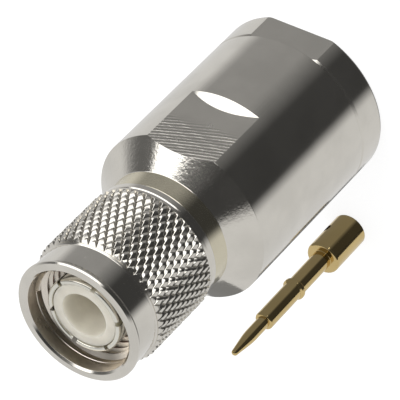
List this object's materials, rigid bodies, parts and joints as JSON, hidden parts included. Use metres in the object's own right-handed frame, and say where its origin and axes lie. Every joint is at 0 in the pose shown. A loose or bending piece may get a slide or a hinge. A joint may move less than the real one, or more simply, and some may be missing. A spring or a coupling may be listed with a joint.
{
  "type": "tnc cable plug",
  "caption": "Straight threaded coaxial cable plug with a knurled coupling nut, a flatted body, a clamp nut for thick cable and a loose gold-plated centre pin.",
  "frame": {"origin": "on the plug's axis, at the rear face of the clamp nut, which the plug stands on", "axes": "+Z along the plug's axis, from the cable end to the mating face; the wrench flats face +Y and -Y"},
  "size_m": [0.0186, 0.0258, 0.0393],
  "materials": {
    "nickel_plate": "bright nickel plate on turned brass",
    "silver_plate": "silver plate on spring brass",
    "gold_plate": "bright gold plate on turned brass",
    "spring_bronze": "plain spring bronze",
    "ptfe": "milky white turned PTFE",
    "silicone": "red silicone",
    "black_rubber": "moulded black rubber"
  },
  "bodies": {
    "cable_end": {"clamp_nut": "nickel_plate", "centre_pin": "gold_plate"},
    "clamp_stack": {"slip_washer": "nickel_plate", "cable_gasket": "black_rubber", "braid_clamp": "nickel_plate"},
    "plug_body": {"main_body": "nickel_plate", "snap_ring": "spring_bronze", "interface_gasket": "silicone", "outer_contact": "silver_plate", "front_insulator": "ptfe", "rear_insulator": "ptfe"},
    "coupling": {"coupling_nut": "nickel_plate"}
  },
  "joints": [
    {"name": "clamp_turn", "type": "hinge", "parent": "cable_end", "child": "clamp_stack", "pos_m": [0, 0, 0.0035], "axis": [0, 0, 1], "range_deg": [0, 2160]},
    {"name": "body_lift", "type": "slide", "parent": "clamp_stack", "child": "plug_body", "axis": [0, 0, 1], "range_m": [0, 0.006]},
    {"name": "coupling_nut_turn", "type": "hinge", "parent": "plug_body", "child": "coupling", "pos_m": [0, 0, 0.0325], "axis": [0, 0, 1], "continuous": true}
  ],
  "couplings": [
    {"joint": "body_lift", "follows": "clamp_turn", "m_per_rad": 0.00015915}
  ]
}
